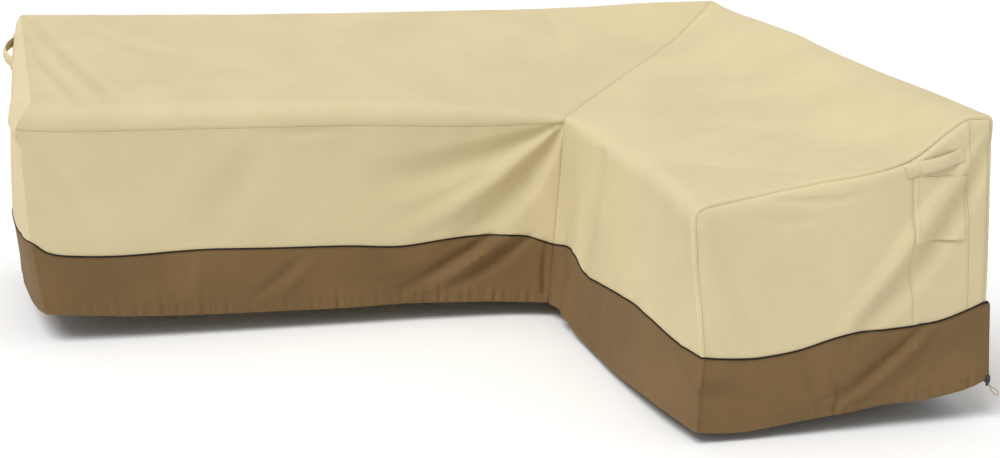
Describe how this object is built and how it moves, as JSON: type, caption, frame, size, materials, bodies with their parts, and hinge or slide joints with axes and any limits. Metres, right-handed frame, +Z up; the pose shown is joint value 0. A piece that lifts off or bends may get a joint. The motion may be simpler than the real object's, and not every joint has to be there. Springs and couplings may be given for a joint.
{
  "type": "outdoor sofa cover",
  "caption": "Fitted L-shaped outdoor sofa cover of beige cloth with a brown skirt, dark piping, end handles, a vent flap and a gathered hem with a cord lock.",
  "frame": {"origin": "the point just under the top near the outer corner, where the cover is held up", "axes": "+X along the long part towards the corner, -Y along the wing towards its end, +Z up"},
  "size_m": [2.7263, 2.1437, 0.8977],
  "materials": {
    "beige_cloth": "woven polyester, matt",
    "brown_cloth": "woven polyester, matt",
    "dark_piping": "cloth-covered cord, matt",
    "tan_cord": "braided",
    "black_plastic": "moulded, satin"
  },
  "bodies": {
    "root": {"top_long": "beige_cloth", "front_long": "beige_cloth", "back_long": "beige_cloth", "end_left": "beige_cloth", "top_wing": "beige_cloth", "back_wing": "beige_cloth", "end_wing": "beige_cloth", "vent_strip": "beige_cloth", "end_strip": "beige_cloth", "vent_flap": "beige_cloth", "handle_left": "beige_cloth", "handle_right": "beige_cloth", "skirt_front": "brown_cloth", "skirt_inner": "brown_cloth", "skirt_end": "brown_cloth", "skirt_back_wing": "brown_cloth", "skirt_back_long": "brown_cloth", "skirt_left": "brown_cloth", "piping": "dark_piping", "cord_loop": "tan_cord", "cord_lock": "black_plastic"}
  },
  "joints": []
}
